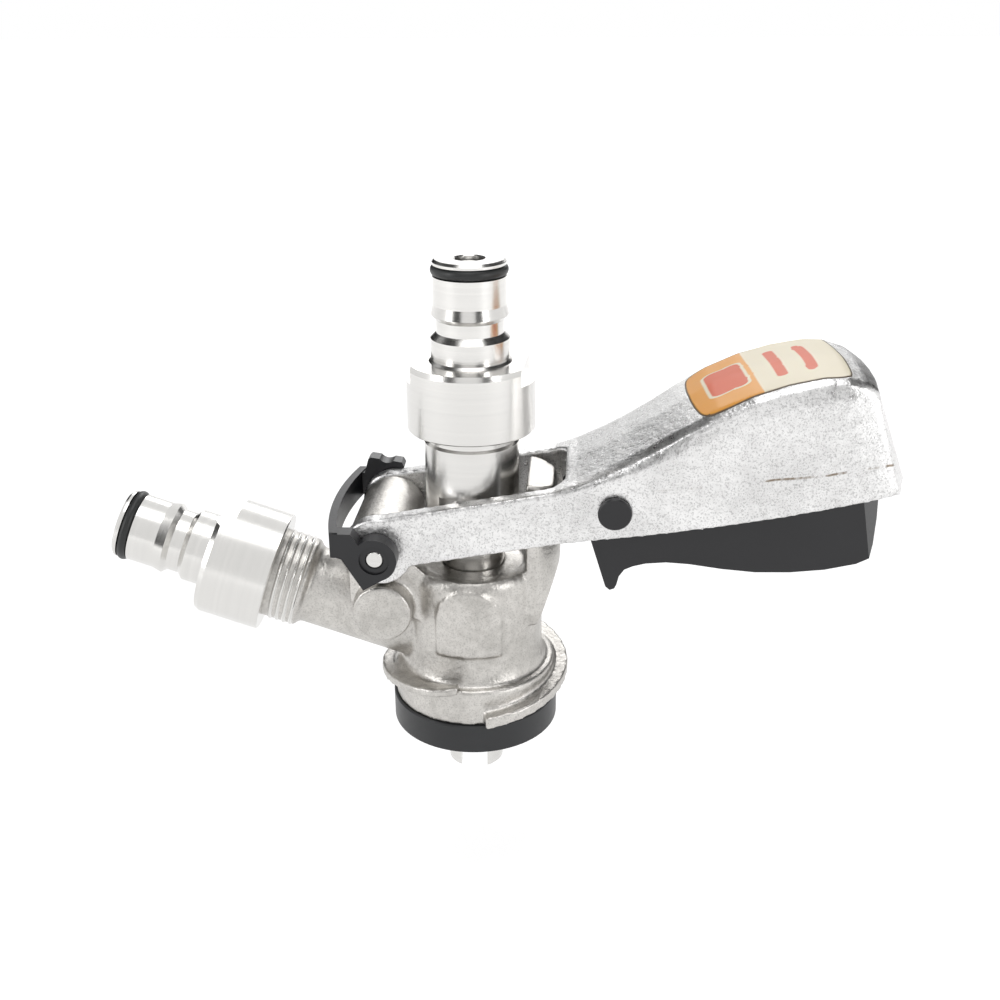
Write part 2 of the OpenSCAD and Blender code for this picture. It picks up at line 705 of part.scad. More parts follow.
module hinge_pin() color("gainsboro") translate([-hinge_x, pin_end_y, hinge_z]) rotate([90, 0, 0])
    turned([
        [0, 0], [hinge_pin_r - small_edge, 0], [hinge_pin_r, small_edge],
        [hinge_pin_r, 2 * pin_end_y - small_edge], [hinge_pin_r - small_edge, 2 * pin_end_y],
        [0, 2 * pin_end_y]
    ]);

// Handle

// Sizes of one station: half width and height of the lower edge, the side crease, the rounded
// shoulder and the top's edge, then the crown. wall shrinks it to the hollow's size
function grip_row(row, wall) =
    let (
        low = wall > 0 ? -arm_low - cut : -arm_low,
        side_w = row[3] * grip_half_w - wall,
        side_z = row[2] * grip_top - wall,
        top_w = row[5] * grip_half_w - wall,
        top_z = row[4] * grip_top - wall
    )
    [
        row[1] * grip_half_w - wall, low, side_w, side_z,
        top_w + (side_w - top_w) * shoulder_share, side_z + (top_z - side_z) * shoulder_share,
        top_w, top_z, row[6] * grip_top - wall
    ];

shoulder_share = 0.72;

// End lean and bulge: how far a point at half width y and height z moves along the handle
function end_shift(share, y, w, z) =
    share * (
        grip_bulge * (1 - pow(y / w, 2)) * (1 - bulge_drop_share * (z + arm_low) / grip_top)
        - grip_lean_share * (z + arm_low)
    );

function grip_point(u, y, z, w, share) = [u + end_shift(share, y, w, z), y, z];

// Ring of points: up the near side, over the top, down the far side, back along the lower edge
function grip_ring(row, wall, u) =
    let (g = grip_row(row, wall), w = g[0], e = row[7])
    concat(
        [for (k = [0:3]) grip_point(u, -g[2 * k], g[2 * k + 1], w, e)],
        [for (c = grip_columns_shares)
            grip_point(u, c * g[6], g[8] + (g[7] - g[8]) * pow(c, 2) * 2, w, e)],
        [for (k = [3:-1:0]) grip_point(u, g[2 * k], g[2 * k + 1], w, e)],
        [for (c = grip_columns_shares) grip_point(u, -c * g[0], g[1], w, e)]
    );

grip_ring_n = 14;

// Points inside the end cap: one row at the crease and one at the rounded shoulder
function cap_points(row, wall, u) =
    let (g = grip_row(row, wall))
    [
        for (k = [1, 2], c = grip_columns_shares)
            grip_point(u, c * g[2 * k], g[2 * k + 1], g[0], row[7])
    ];

// Rows of the cap's grid as point numbers, from the lower edge to the top's edge
function cap_rows(base, extra) = [
    [base, base + 13, base + 12, base + 11, base + 10],
    [base + 1, extra, extra + 1, extra + 2, base + 9],
    [base + 2, extra + 3, extra + 4, extra + 5, base + 8],
    [base + 3, base + 4, base + 5, base + 6, base + 7]
];

function cap_faces(rows) = [
    for (i = [0:2], j = [0:3], half = [0, 1])
        half == 0
            ? [rows[i][j], rows[i + 1][j + 1], rows[i][j + 1]]
            : [rows[i][j], rows[i + 1][j], rows[i + 1][j + 1]]
];

// wall = 0 gives the outside, arms included; a wall gives the hollow, open below
module grip_form(wall) {
    first = wall > 0 ? 1 : 0;
    last = len(grip_stations_shares) - 1;
    rows = [for (i = [first:last]) grip_stations_shares[i]];
    n = last - first;
    end_u = grip_reach * rows[n][0] - wall;
    places = [
        for (i = [0:n])
            wall > 0 && i == 0 ? crotch_reach - edge
            : min(grip_reach * rows[i][0], end_u - (n - i) * edge)
    ];
    polyhedron(
        points = concat(
            [for (i = [0:n]) each grip_ring(rows[i], wall, places[i])],
            cap_points(rows[n], wall, end_u)
        ),
        faces = concat(
            [[for (j = [grip_ring_n - 1:-1:0]) j]],
            side_faces(n + 1, grip_ring_n),
            cap_faces(cap_rows(n * grip_ring_n, (n + 1) * grip_ring_n))
        )
    );
}

module crotch_plan() {
    translate([-cut, -crotch_half_w])
        square([crotch_reach - crotch_corner_r + cut, 2 * crotch_half_w]);
    translate([0, crotch_corner_r - crotch_half_w])
        square([crotch_reach, 2 * (crotch_half_w - crotch_corner_r)]);
    for (side = [-1, 1])
        translate([crotch_reach - crotch_corner_r, side * (crotch_half_w - crotch_corner_r)])
            circle(crotch_corner_r);
}

drive_reach = crotch_half_w - flat_y - side_gap;
drive_local_deg = drive_deg - handle_tilt;

// Disc of the arm's end, a little proud of the arm outside
arm_end_proud = 0.1;

module arm_end(side) translate([0, side * (fork_half_w + crotch_half_w) / 2, 0]) rotate([90, 0, 0])
    cylinder(r = arm_end_r, h = arm_t, center = true);

module drive_boss(side) translate([
    drive_arm * cos(drive_local_deg), side * (crotch_half_w - drive_reach / 2 + arm_t / 4),
    drive_arm * sin(drive_local_deg)
]) rotate([90, 0, 0]) cylinder(r = drive_r, h = drive_reach + arm_t / 2, center = true);

module handle() color("#c9c7c3") in_handle() difference() {
    union() {
        difference() {
            grip_form(0);
            grip_form(grip_wall);
            translate([0, 0, -arm_low - cut]) linear_extrude(grip_top) crotch_plan();
        }
        for (side = [-1, 1]) {
            translate([0, side * arm_end_proud, 0]) arm_end(side);
            drive_boss(side);
        }
    }
    // Bores for the hinge pin and the trigger pin
    rotate([90, 0, 0]) cylinder(r = hinge_pin_r + running, h = 3 * fork_half_w, center = true);
    translate([trigger_u, 0, trigger_v]) rotate([90, 0, 0])
        cylinder(r = trigger_pin_r + seated, h = 3 * grip_half_w, center = true);
}

// Return spring: its place along the trigger, its radius, wire and ends
trigger_spring_share = 0.27;
trigger_spring_r = 3.2;
trigger_spring_wire_r = 0.5;
trigger_spring_turns = 7.5;
trigger_spring_low = -trigger_depth * 0.55;
trigger_spring_high = grip_top * 0.545 - trigger_v;
spring_seat_r = trigger_spring_r + 2 * trigger_spring_wire_r;

// A flat seat for the spring, set at the trigger's frame
module spring_seat(low, high)
    translate([trigger_len * trigger_spring_share, 0, low]) cylinder(r = spring_seat_r, h = high - low);

label_share = 0.775;
label_u = grip_reach * label_share;

// Thin label that follows the grip's top: slices of the same stations, raised by its thickness
module grip_label() color("#e8a23c") in_handle() difference() {
    intersection() {
        translate([0, 0, label_t]) grip_form(0);
        translate([label_u - label_len / 2, -label_w / 2, grip_top / 2])
            cube([label_len, label_w, grip_top]);
    }
    translate([0, 0, label_t / 10]) grip_form(0);
}

// Trigger

function trigger_points(shares) = [for (p = shares) [p[0] * trigger_len, p[1] * trigger_depth]];

module trigger_plan() translate([0, 0, -2 * trigger_depth]) linear_extrude(4 * trigger_depth)
    polygon(both_ways([
        for (p = trigger_plan_shares) [p[0] * trigger_len, p[1] * trigger_half_w]
    ]));

module trigger() color("#1b1b1d") in_handle() translate([trigger_u, 0, trigger_v]) {
    difference() {
        union() {
            intersection() {
                slab(-trigger_half_w, trigger_half_w) {
                    polygon(trigger_points(trigger_outline_shares));
                    circle(trigger_eye_r);
                }
                trigger_plan();
            }
            slab(-nose_half_w_share * trigger_half_w, nose_half_w_share * trigger_half_w)
                polygon(trigger_points(trigger_nose_shares));
        }
        slab(trigger_wall - trigger_half_w, trigger_half_w - trigger_wall)
            polygon(trigger_points(trigger_pocket_shares));
        rotate([90, 0, 0]) cylinder(r = trigger_pin_r + running, h = 4 * trigger_half_w, center = true);
    }
    spring_seat(-trigger_depth * 0.7, trigger_spring_low - seated);
}

// The pin passes both walls of the grip; its fixed head shows in front and a cap behind
trigger_wall_y = grip_half_w * 0.925;
head_t = 1;

module trigger_pin() color("#1b1b1d") in_handle() translate([trigger_u, 0, trigger_v])
    rotate([90, 0, 0]) {
        translate([0, 0, -trigger_wall_y]) cylinder(r = trigger_pin_r, h = 2 * trigger_wall_y);
        translate([0, 0, trigger_wall_y]) turned([
            [0, 0], [trigger_head_r, 0], [trigger_head_r, head_t - small_edge],
            [trigger_head_r - small_edge, head_t], [0, head_t]
        ]);
    }

module trigger_pin_cap() color("#1b1b1d") in_handle()
    translate([trigger_u, trigger_wall_y, trigger_v]) rotate([-90, 0, 0]) turned([
        [0, 0], [trigger_head_r, 0], [trigger_head_r, head_t - small_edge],
        [trigger_head_r - small_edge, head_t], [0, head_t]
    ]);

// Return spring between its seat on the trigger's floor and the grip's roof

module trigger_spring() color("darkgray") in_handle()
    translate([trigger_u + trigger_len * trigger_spring_share, 0, trigger_v]) coil(
        trigger_spring_r, trigger_spring_wire_r, trigger_spring_low, trigger_spring_high,
        trigger_spring_turns
    );

// Pin clip: two cheeks on the hinge pin's ends, joined by a strap behind the hinge

strap_low = 0.5;
strap_sag = 2.6;
strap_curve_r = (pow(cheek_out_y, 2) + pow(strap_sag, 2)) / (2 * strap_sag);
strap_end_x = strap_reach - strap_sag;
tab_back = 6.8;
tab_front = 2;
tab_high = 11;

// The cheeks' necks end inside the strap's thickness
neck_x = strap_end_x - 0.45 * strap_t;

module cheek_profile() {
    circle(cheek_r);
    rotate(cheek_foot_deg) translate([0, -cheek_r + small_edge / 3])
        square([cheek_foot, 2 * cheek_r - small_edge / 1.5]);
    polygon([
        [-neck_x, strap_low + small_edge], [-neck_x, strap_high - small_edge],
        [-cheek_r, strap_high - small_edge], [-cheek_r * cos(50), cheek_r * sin(50) - small_edge],
        [0, 0], [-cheek_r + small_edge, -edge]
    ]);
}

// Thumb tab with a hollow back, on the far cheek only
module tab_profile() difference() {
    polygon([
        [-neck_x, strap_high / 2], [-tab_back - edge, tab_high - edge], [-tab_back, tab_high],
        [tab_front - edge, tab_high - 2 * edge], [tab_front, tab_high - 4 * edge], [0, cheek_r / 2]
    ]);
    translate([-tab_back / 3, tab_high + 2 * edge]) circle(tab_back / 2.6);
}

module strap() translate([0, 0, strap_low]) linear_extrude(strap_high - strap_low) intersection() {
    translate([strap_curve_r - strap_reach, 0]) difference() {
        circle(strap_curve_r, $fn = 240);
        circle(strap_curve_r - strap_t, $fn = 240);
    }
    translate([-strap_reach - cut, small_edge - cheek_out_y])
        square([strap_reach, 2 * (cheek_out_y - small_edge)]);
}

module pin_clip() color("#18181a") translate([-hinge_x, 0, hinge_z]) difference() {
    union() {
        slab(-cheek_out_y, -cheek_in_y) cheek_profile();
        slab(cheek_in_y, cheek_out_y) {
            cheek_profile();
            tab_profile();
        }
        strap();
    }
    rotate([90, 0, 0]) cylinder(r = hinge_pin_r + running, h = 3 * cheek_out_y, center = true);
    for (side = [-1, 1]) translate([0, side * (cheek_out_y + cut / 2), 0]) rotate([90, 0, 0])
        cylinder(r = cheek_recess_r, h = 2 * edge + cut, center = true);
}

body();
bottom_seal();
guide_seals();
gas_check_valve();
gas_washer();
gas_adapter();
gas_post_ring();
gas_poppet();
gas_poppet_seal();
gas_poppet_spring();
hinge_pin();
probe();
check_ball();
ball_retainer();
beer_washer();
beer_adapter();
beer_post_ring();
beer_poppet();
beer_poppet_seal();
beer_poppet_spring();
handle();
grip_label();
trigger();
trigger_pin();
trigger_pin_cap();
trigger_spring();
pin_clip();
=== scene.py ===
"""A keg coupler on white: cast body and lever, turned post adapters, black rubber and plastic."""

import math

import bmesh
import bpy
import numpy as np
from mathutils import Matrix, Vector


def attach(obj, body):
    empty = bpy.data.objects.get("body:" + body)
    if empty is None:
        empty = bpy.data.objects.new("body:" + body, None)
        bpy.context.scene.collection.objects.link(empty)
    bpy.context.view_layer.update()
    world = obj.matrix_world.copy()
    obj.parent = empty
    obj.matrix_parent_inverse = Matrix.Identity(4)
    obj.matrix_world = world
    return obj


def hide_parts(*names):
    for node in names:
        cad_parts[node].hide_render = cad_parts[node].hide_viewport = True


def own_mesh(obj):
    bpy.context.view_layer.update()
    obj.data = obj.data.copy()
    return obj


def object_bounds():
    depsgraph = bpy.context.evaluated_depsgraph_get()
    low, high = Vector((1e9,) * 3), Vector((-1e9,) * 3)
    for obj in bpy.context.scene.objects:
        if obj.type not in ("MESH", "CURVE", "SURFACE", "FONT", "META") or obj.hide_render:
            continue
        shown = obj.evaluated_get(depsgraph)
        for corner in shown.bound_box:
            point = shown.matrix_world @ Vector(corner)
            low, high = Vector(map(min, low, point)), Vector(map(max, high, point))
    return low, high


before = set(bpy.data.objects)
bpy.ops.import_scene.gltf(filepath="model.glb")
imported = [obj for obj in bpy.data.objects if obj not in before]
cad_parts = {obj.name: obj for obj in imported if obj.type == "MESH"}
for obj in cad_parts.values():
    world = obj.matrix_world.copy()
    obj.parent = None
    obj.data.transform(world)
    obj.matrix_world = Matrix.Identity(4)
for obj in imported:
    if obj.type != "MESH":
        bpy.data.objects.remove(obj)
cad_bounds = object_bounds()

MM = 0.001

# Places, in millimetres
HINGE = (-21.5, 52.6)
HANDLE_TILT = math.radians(10.7)
GAS_MOUTH = (-50.85, 38.5)
GAS_SLOPE = math.radians(18.7)

# Camera of the photograph, from a fit to the coupler's round edges
CAMERA_AT = (25.70, -275.75, 176.20)
CAMERA_YAW = math.radians(3.93)
CAMERA_DOWN = math.radians(22.85)
CAMERA_ROLL = math.radians(-0.32)
CAMERA_LENS = 43.706
CAMERA_FILM = 36.0

# Points nearer than this, in metres, are one point
MERGE_REACH = 1e-6


# Shader writing
class Wire:
    """A socket that adds its own Math nodes: a + b, a - b, a * b, a ** b, 1 - a."""

    def __init__(self, paint, socket):
        self.paint, self.socket = paint, socket

    def _math(self, operation, first, second):
        return self.paint.node("ShaderNodeMath", {"operation": operation}, {0: first, 1: second})

    def __add__(self, other):
        return self._math("ADD", self, other)

    def __radd__(self, other):
        return self._math("ADD", other, self)

    def __sub__(self, other):
        return self._math("SUBTRACT", self, other)

    def __rsub__(self, other):
        return self._math("SUBTRACT", other, self)

    def __mul__(self, other):
        return self._math("MULTIPLY", self, other)

    def __pow__(self, other):
        return self._math("POWER", self, other)

    def size(self):
        return self._math("ABSOLUTE", self, 0.0)

    def at_least(self, other):
        return self._math("MAXIMUM", self, other)

    def step(self, low, high):
        """0 below low, 1 above high, a smooth rise between them."""
        return self.paint.node(
            "ShaderNodeMapRange", {"interpolation_type": "SMOOTHSTEP", "clamp": True},
            {"Value": self, "From Min": low, "From Max": high, "To Min": 0.0, "To Max": 1.0})


class Paint:
    """One material: its node tree, a node() method for every node, and a finish."""

    def __init__(self, name):
        self.material = bpy.data.materials.new(name)
        self.material.use_nodes = True
        self.tree = self.material.node_tree
        self.shader = self.tree.nodes["Principled BSDF"]

    def node(self, kind, settings=None, values=None, out=0):
        made = self.tree.nodes.new(kind)
        for key, value in (settings or {}).items():
            setattr(made, key, value)
        for key, value in (values or {}).items():
            self.plug(made.inputs[key], value)
        return Wire(self, made.outputs[out])

    def plug(self, socket, value):
        if isinstance(value, Wire):
            self.tree.links.new(value.socket, socket)
        elif isinstance(value, (tuple, list)) and len(value) == 3 and socket.type == "RGBA":
            socket.default_value = (*value, 1.0)
        else:
            socket.default_value = value

    def coordinates(self, source="Object"):
        return self.node("ShaderNodeTexCoord", out=source)

    def parts(self, vector):
        split = self.node("ShaderNodeSeparateXYZ", values={0: vector}).socket.node
        return [Wire(self, split.outputs[i]) for i in range(3)]

    def noise(self, scale, detail=2.0, rough=0.5, vector=None):
        return self.node(
            "ShaderNodeTexNoise", values={
                "Vector": vector or self.coordinates(), "Scale": scale, "Detail": detail,
                "Roughness": rough})

    def mix(self, share, first, second):
        """A colour between two colours."""
        made = self.tree.nodes.new("ShaderNodeMix")
        made.data_type = "RGBA"
        self.plug(made.inputs[0], share)
        self.plug(made.inputs[6], first)
        self.plug(made.inputs[7], second)
        return Wire(self, made.outputs[2])

    def bump(self, height, strength, distance=0.0002):
        return self.node("ShaderNodeBump", values={
            "Strength": strength, "Distance": distance, "Height": height})

    def finish(self, **sockets):
        """Socket names with underscores for spaces, such as Base_Color."""
        for key, value in sockets.items():
            self.plug(self.shader.inputs[key.replace("_", " ")], value)
        return self.material


def along(paint, origin, angle):
    """The distance from a point in the XZ plane along a direction that rises by angle."""
    x, _, z = paint.parts(paint.coordinates())
    return ((x - origin[0] * MM) * math.cos(angle)
            + (z - origin[1] * MM) * math.sin(angle))


def above(paint, origin, angle):
    """The distance square to that direction, upwards."""
    x, _, z = paint.parts(paint.coordinates())
    return ((z - origin[1] * MM) * math.cos(angle)
            - (x - origin[0] * MM) * math.sin(angle))


# Finishes
# The faint line along the grip's side, in metres: where it lies above the arm, how it falls
# towards the end, how it wanders, its half width, and where it starts
STREAK_HEIGHT = 0.0105
STREAK_FALL = 0.065
STREAK_WANDER = 0.0011
STREAK_WIDTH = (0.00012, 0.00042)
STREAK_START = (0.066, 0.078)
STREAK_BROWN = (0.16, 0.11, 0.06)


def casting_paint(name, pale, dark, rough, specks, streak=False):
    """Blasted casting: grain at three sizes, dull patches and fine dark specks."""
    p = Paint(name)
    grain = p.noise(1300, 3.0, 0.65)
    pits = p.noise(520, 2.0, 0.55)
    patches = p.noise(60, 3.0, 0.6)
    shade = (patches - 0.5) * 0.9 + (pits - 0.5) * 0.5 + 0.5
    colour = p.mix(shade.step(0.25, 0.75), dark, pale)
    speckle = p.noise(2300, 2.0, 0.7).step(0.50, 0.64) * specks
    colour = p.mix(speckle, colour, tuple(0.4 * c for c in dark))
    if streak:
        u = along(p, HINGE, HANDLE_TILT)
        v = above(p, HINGE, HANDLE_TILT)
        wander = (p.noise(90, 2.0) - 0.5) * STREAK_WANDER
        line = v - STREAK_HEIGHT + u * STREAK_FALL - wander
        narrow = 1 - line.size().step(*STREAK_WIDTH)
        broken = p.noise(160, 3.0, 0.7).step(0.46, 0.6) * u.step(*STREAK_START)
        colour = p.mix(narrow * broken * 0.85, colour, STREAK_BROWN)
    return p.finish(
        Base_Color=colour, Metallic=1.0,
        Roughness=rough + (pits - 0.5) * 0.22 + (patches - 0.5) * 0.14,
        Normal=p.bump(grain * 0.8 + pits * 1.1 + patches * 1.3, 0.62, 0.0002))


def turned_paint(name, origin, angle, tone):
    """Turned steel: fine tool rings square to the axis, in roughness and relief."""
    p = Paint(name)
    run = along(p, origin, angle)
    rings = p.node("ShaderNodeTexNoise", {"noise_dimensions": "1D"},
                   {"W": run * 4200.0, "Scale": 1.0, "Detail": 3.0})
    bands = p.node("ShaderNodeTexNoise", {"noise_dimensions": "1D"},
                   {"W": run * 700.0, "Scale": 1.0, "Detail": 1.0})
    smudge = p.noise(70, 2.0)
    return p.finish(
        Base_Color=p.mix(bands, tuple(0.93 * c for c in tone), tone), Metallic=1.0,
        Roughness=0.16 + rings * 0.12 + (smudge - 0.5) * 0.10,
        Normal=p.bump(rings, 0.22, 0.00004))


def plain_paint(name, colour, rough, grain=0.06, scale=900, relief=0.08):
    """Moulded rubber or plastic: one colour, a fine grain in gloss and relief."""
    p = Paint(name)
    fine = p.noise(scale, 2.0)
    wide = p.noise(45, 2.0)
    pale = tuple(c * 1.25 + 0.004 for c in colour)
    return p.finish(
        Base_Color=p.mix(wide.step(0.3, 0.8), colour, pale),
        Roughness=rough + (fine - 0.5) * grain + (wide - 0.5) * 0.1,
        Normal=p.bump(fine, relief, 0.0001))


ORANGE = (0.83, 0.36, 0.045)
CREAM = (0.86, 0.78, 0.60)
BADGE = (0.70, 0.10, 0.02)
FILM_EDGE = (0.10, 0.07, 0.04)

# The print, in shares of the label: its soft edge, where orange ends, the badge with its
# frame and the two bars
PRINT_EDGE = 0.006
ORANGE_END = 0.40
BADGE_MIDDLE = (0.235, 0.5)
FRAME_HALF = (0.135, 0.27)
BADGE_HALF = (0.115, 0.25)
BAR_PLACES = (0.56, 0.76)
BAR_HALF = (0.035, 0.30)


def rounded_box(paint, a, b, middle, half, corner):
    """Distance outside a rounded rectangle in the label's own plane; below zero inside."""
    past_a = ((a - middle[0]).size() - (half[0] - corner)).at_least(0.0)
    past_b = ((b - middle[1]).size() - (half[1] - corner)).at_least(0.0)
    return (past_a * past_a + past_b * past_b) ** 0.5 - corner


def label_paint(name):
    """Printed film: an orange end with a framed badge, a cream end with two plain bars."""
    p = Paint(name)
    a, b, _ = p.parts(p.coordinates("UV"))
    soft = PRINT_EDGE
    colour = p.mix(a.step(ORANGE_END - soft, ORANGE_END + soft), ORANGE, CREAM)
    frame_edge = rounded_box(p, a, b, BADGE_MIDDLE, FRAME_HALF, 0.06)
    badge_edge = rounded_box(p, a, b, BADGE_MIDDLE, BADGE_HALF, 0.05)
    colour = p.mix(1 - frame_edge.step(-soft, soft), colour, CREAM)
    colour = p.mix(1 - badge_edge.step(-soft, soft), colour, BADGE)
    for middle in BAR_PLACES:
        bar = rounded_box(p, a, b, (middle, 0.5), BAR_HALF, 0.03)
        colour = p.mix(1 - bar.step(-soft, soft), colour, BADGE)
    rim = rounded_box(p, a, b, (0.5, 0.5), (0.49, 0.487), 0.02)
    colour = p.mix(rim.step(-soft, soft), colour, FILM_EDGE)
    wear = p.noise(300, 3.0)
    return p.finish(Base_Color=colour, Coat_Weight=0.10, Coat_Roughness=0.2,
                    Roughness=0.5 + (wear - 0.5) * 0.12)


cast_body = casting_paint("blasted_body", (0.66, 0.64, 0.61), (0.46, 0.445, 0.42), 0.36, 0.30)
cast_lever = casting_paint(
    "satin_lever", (0.86, 0.855, 0.85), (0.66, 0.655, 0.65), 0.31, 0.50, streak=True)
TURNED = (0.72, 0.71, 0.69)
turned_upright = turned_paint("turned_upright", (0.0, 0.0), math.pi / 2, TURNED)
turned_branch = turned_paint("turned_branch", GAS_MOUTH, math.pi - GAS_SLOPE, TURNED)
wire_steel = turned_paint("wire_steel", (0.0, 0.0), math.pi / 2, (0.70, 0.69, 0.67))
black_rubber = plain_paint("black_rubber", (0.012, 0.013, 0.013), 0.42)
seal_rubber = plain_paint("seal_rubber", (0.016, 0.017, 0.019), 0.40, 0.10, 500)
black_plastic = plain_paint("black_plastic", (0.010, 0.010, 0.012), 0.36, 0.10, 1200, 0.14)
grey_plastic = plain_paint("grey_plastic", (0.42, 0.44, 0.42), 0.5)
white_plastic = plain_paint("white_plastic", (0.80, 0.80, 0.77), 0.45)
printed_film = label_paint("printed_film")

NODE_PAINTS = {
    "body": cast_body, "handle": cast_lever,
    "bottom_seal": seal_rubber, "guide_seals": black_rubber, "gas_check_valve": black_rubber,
    "gas_washer": grey_plastic, "beer_washer": grey_plastic,
    "gas_adapter": turned_branch, "beer_adapter": turned_upright,
    "gas_post_ring": black_rubber, "beer_post_ring": black_rubber,
    "gas_poppet": turned_branch, "beer_poppet": turned_upright,
    "gas_poppet_seal": black_rubber, "beer_poppet_seal": black_rubber,
    "gas_poppet_spring": wire_steel, "beer_poppet_spring": wire_steel,
    "trigger_spring": wire_steel, "hinge_pin": turned_upright, "probe": turned_upright,
    "check_ball": turned_upright, "ball_retainer": white_plastic,
    "grip_label": printed_film, "trigger": black_plastic, "trigger_pin": black_plastic,
    "trigger_pin_cap": black_plastic, "pin_clip": black_plastic,
}
for node_name, material in NODE_PAINTS.items():
    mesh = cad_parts[node_name].data
    mesh.materials.clear()
    mesh.materials.append(material)


# Surfaces
def grid_faces(rows, columns, close_rows, close_columns):
    """Quads of a grid of points, as an array of point numbers."""
    i = np.arange(rows if close_rows else rows - 1)
    j = np.arange(columns if close_columns else columns - 1)
    i, j = np.meshgrid(i, j, indexing="ij")
    i2, j2 = (i + 1) % rows, (j + 1) % columns
    return np.stack([i * columns + j, i * columns + j2, i2 * columns + j2, i2 * columns + j],
                    axis=-1).reshape(-1, 4)


def new_piece(name, points, faces, material, body):
    """A smooth-shaded object at the origin from points in millimetres."""
    mesh = bpy.data.meshes.new(name)
    mesh.from_pydata((points.reshape(-1, 3) * MM).tolist(), [], faces.tolist())
    mesh.materials.append(material)
    mesh.shade_smooth()
    piece = bpy.data.objects.new(name, mesh)
    bpy.context.scene.collection.objects.link(piece)
    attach(piece, body)
    return piece


def settle(piece):
    """Puts what a piece's modifiers make into its own mesh."""
    bpy.context.view_layer.update()
    done = bpy.data.meshes.new_from_object(
        piece.evaluated_get(bpy.context.evaluated_depsgraph_get()))
    piece.modifiers.clear()
    piece.data = done


def turn_outwards(piece):
    shape = bmesh.new()
    shape.from_mesh(piece.data)
    bmesh.ops.recalc_face_normals(shape, faces=shape.faces)
    shape.to_mesh(piece.data)
    shape.free()


# Grid of the castings in millimetres, and how often each skin is relaxed
CAST_GRID = 0.5
BODY_PASSES = 4
LEVER_PASSES = 8


def merged_copy(node_name, name):
    """A CAD node's mesh as an object of its own, with its doubled points merged."""
    shape = bmesh.new()
    shape.from_mesh(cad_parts[node_name].data)
    bmesh.ops.remove_doubles(shape, verts=shape.verts, dist=MERGE_REACH)
    mesh = bpy.data.meshes.new(name)
    shape.to_mesh(mesh)
    shape.free()
    piece = bpy.data.objects.new(name, mesh)
    bpy.context.scene.collection.objects.link(piece)
    return piece


def cast_copy(node_name, name, body, material, passes):
    """A casting's soft edges: the solid is filled with a fine grid and its skin relaxed."""
    piece = merged_copy(node_name, name)
    remesh = piece.modifiers.new("fine grid", "REMESH")
    remesh.mode = "VOXEL"
    remesh.voxel_size = CAST_GRID * MM
    relax = piece.modifiers.new("relaxed skin", "SMOOTH")
    relax.factor = 0.5
    relax.iterations = passes
    settle(piece)
    piece.data.materials.clear()
    piece.data.materials.append(material)
    piece.data.shade_smooth()
    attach(piece, body)
    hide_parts(node_name)
    return piece


cast_copy("body", "cast_body", "coupler_body", cast_body, BODY_PASSES)
lever = cast_copy("handle", "cast_lever", "handle_body", cast_lever, LEVER_PASSES)


def squeezed_spring(node_name, name, body):
    """The spring's own wire as an object of its own, in steel, carried by its body."""
    piece = merged_copy(node_name, name)
    piece.data.materials.clear()
    piece.data.materials.append(wire_steel)
    piece.data.shade_smooth()
    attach(piece, body)
    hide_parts(node_name)
    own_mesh(piece)


# The three springs, each carried by its body
squeezed_spring("beer_poppet_spring", "beer_valve_spring", "probe_body")
squeezed_spring("gas_poppet_spring", "gas_valve_spring", "coupler_body")
squeezed_spring("trigger_spring", "trigger_return_spring", "handle_body")


# Pipe thread on the branch
THREAD_PITCH = 1.814
THREAD_ROOT = 11.35
THREAD_CREST = 11.86
THREAD_RUN = (-8.2, -0.35)
THREAD_INSIDE = 10.9
THREAD_SIDES = 120
THREAD_STATIONS = 92
THREAD_FADE = 0.7
THREAD_SHARPNESS = 1.6


def branch_thread():
    """Radius over angle t and run s: root + (crest - root) * wave(s / pitch - t / turn), where
    wave is a sine raised to a rounded ridge; both ends fade to the root, and the skin
    returns inside the casting so that it closes."""
    turn = np.linspace(0, 2 * math.pi, THREAD_SIDES, endpoint=False)
    run = np.linspace(THREAD_RUN[0], THREAD_RUN[1], THREAD_STATIONS)
    s, t = np.meshgrid(run, turn, indexing="ij")
    wave = 0.5 + 0.5 * np.sin(2 * math.pi * (s / THREAD_PITCH) - t)
    fade = np.clip(np.minimum(s - THREAD_RUN[0], THREAD_RUN[1] - s) / THREAD_FADE, 0, 1)
    radius = THREAD_ROOT + (THREAD_CREST - THREAD_ROOT) * wave ** THREAD_SHARPNESS * fade
    radius = np.vstack([np.full((1, len(turn)), THREAD_INSIDE), radius,
                        np.full((1, len(turn)), THREAD_INSIDE)])
    s = np.vstack([s[:1], s, s[-1:]])
    t = np.vstack([t[:1], t, t[-1:]])
    across, side = radius * np.cos(t), radius * np.sin(t)
    # s grows from the casting towards the nut, against the branch's outward direction
    x = GAS_MOUTH[0] - s * math.cos(GAS_SLOPE) + across * math.sin(GAS_SLOPE)
    z = GAS_MOUTH[1] + s * math.sin(GAS_SLOPE) + across * math.cos(GAS_SLOPE)
    points = np.stack([x, side, z], axis=-1)
    piece = new_piece("branch_thread", points,
                      grid_faces(points.shape[0], points.shape[1], True, True),
                      turned_branch, "coupler_body")
    turn_outwards(piece)


branch_thread()


# Label on the grip
LABEL_AT = 98.3
LABEL_HEIGHT = 21.74
LABEL_RISE = 0.14
LABEL_TURN = math.radians(3.4)
LABEL_LENGTH = 36.6
LABEL_WIDTH = 33.8
LABEL_BOW = 1.5
LABEL_THICK = 0.3
LABEL_LIFT = 0.06
LABEL_GRID = 61
# The film starts this far above the grip, and the superellipse of its corners has this power
LABEL_START = 12
CORNER_POWER = 12


